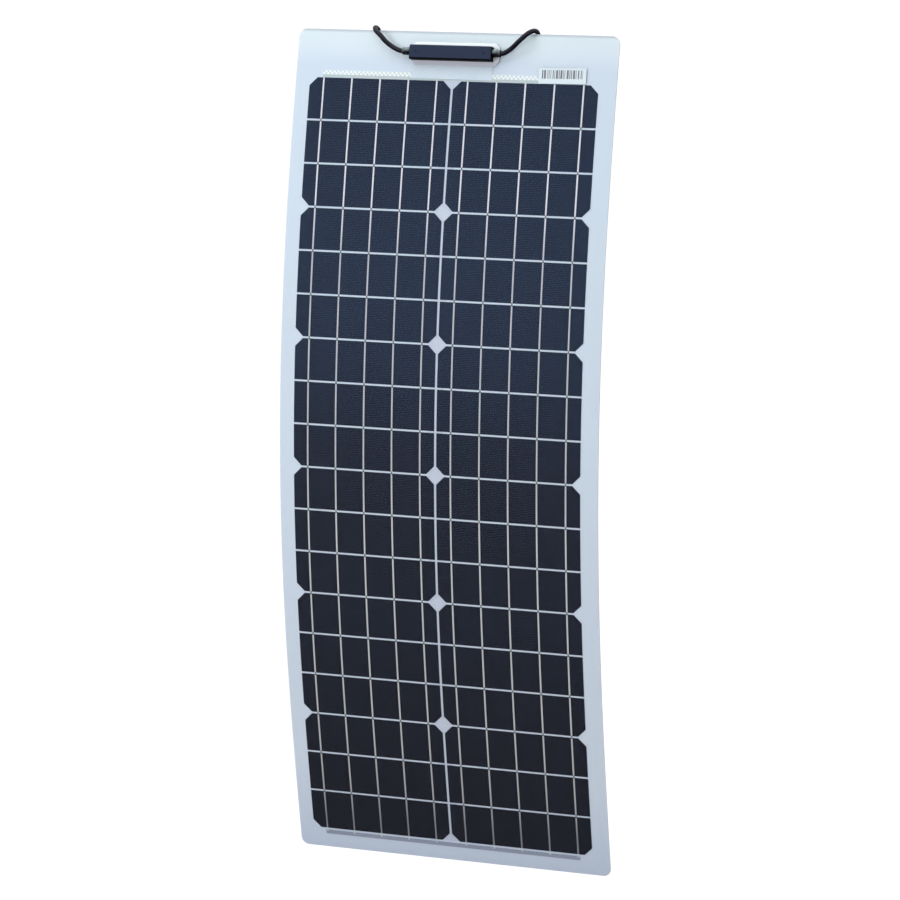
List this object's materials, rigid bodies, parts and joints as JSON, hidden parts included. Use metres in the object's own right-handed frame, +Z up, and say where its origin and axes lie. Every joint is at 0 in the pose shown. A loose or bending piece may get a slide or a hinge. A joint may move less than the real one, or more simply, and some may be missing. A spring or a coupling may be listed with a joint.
{
  "type": "flexible solar sheet",
  "caption": "Bowed flexible solar sheet: dark cut cells in two columns on a white backing, a slim junction box at the top edge and two leads with connectors.",
  "frame": {"origin": "on the back of the sheet at the middle of its bow, at mid-width, which is where the sheet is held", "axes": "+Z up along the sheet's length, towards the junction box; +Y out of the back; the cells face -Y; +X to the right of someone who looks at the cells"},
  "size_m": [0.351, 0.0747, 0.8819],
  "materials": {
    "white_backing": "smooth white reinforced plastic",
    "clear_encapsulant": "clear resin",
    "clear_film": "clear embossed plastic film",
    "silicon": "dark blue coated silicon with tinned ribbons",
    "tinned_ribbon": "tinned copper ribbon",
    "white_insulation": "thin white insulating strip",
    "label_paper": null,
    "sealant": "off-white silicone bed",
    "box_plastic": "satin slate-black moulded plastic",
    "lead_sheath": "matt black cable sheath",
    "connector_plastic": "black moulded plastic",
    "diode_body": "black moulded diode with tinned leads"
  },
  "bodies": {
    "sheet": {"back_sheet": "white_backing", "encapsulant": "clear_encapsulant", "front_film": "clear_film", "cell_left_01": "silicon", "cell_left_02": "silicon", "cell_left_03": "silicon", "cell_left_04": "silicon", "cell_left_05": "silicon", "cell_left_06": "silicon", "cell_left_07": "silicon", "cell_left_08": "silicon", "cell_left_09": "silicon", "cell_left_10": "silicon", "cell_left_11": "silicon", "cell_left_12": "silicon", "cell_left_13": "silicon", "cell_left_14": "silicon", "cell_left_15": "silicon", "cell_left_16": "silicon", "cell_left_17": "silicon", "cell_left_18": "silicon", "cell_right_01": "silicon", "cell_right_02": "silicon", "cell_right_03": "silicon", "cell_right_04": "silicon", "cell_right_05": "silicon", "cell_right_06": "silicon", "cell_right_07": "silicon", "cell_right_08": "silicon", "cell_right_09": "silicon", "cell_right_10": "silicon", "cell_right_11": "silicon", "cell_right_12": "silicon", "cell_right_13": "silicon", "cell_right_14": "silicon", "cell_right_15": "silicon", "cell_right_16": "silicon", "cell_right_17": "silicon", "cell_right_18": "silicon", "bus_ribbon_upper_left": "tinned_ribbon", "bus_ribbon_upper_right": "tinned_ribbon", "bus_ribbon_lower": "tinned_ribbon", "bus_cover": "white_insulation", "serial_label": "label_paper", "box_sealant": "sealant", "box_base": "box_plastic", "terminal_left": "tinned_ribbon", "terminal_right": "tinned_ribbon", "bypass_diode": "diode_body", "gland_left": "box_plastic", "gland_right": "box_plastic", "lead_left": "lead_sheath", "lead_left_coil": "lead_sheath", "lead_right": "lead_sheath", "lead_right_coil": "lead_sheath", "tie_left": "connector_plastic", "tie_right": "connector_plastic", "plug_left": "connector_plastic", "plug_right": "connector_plastic"},
    "lid": {"box_lid": "box_plastic"}
  },
  "joints": [
    {"name": "lid_lift", "type": "slide", "parent": "sheet", "child": "lid", "axis": [0, -0.9794, 0.202], "range_m": [0, 0.02]}
  ]
}
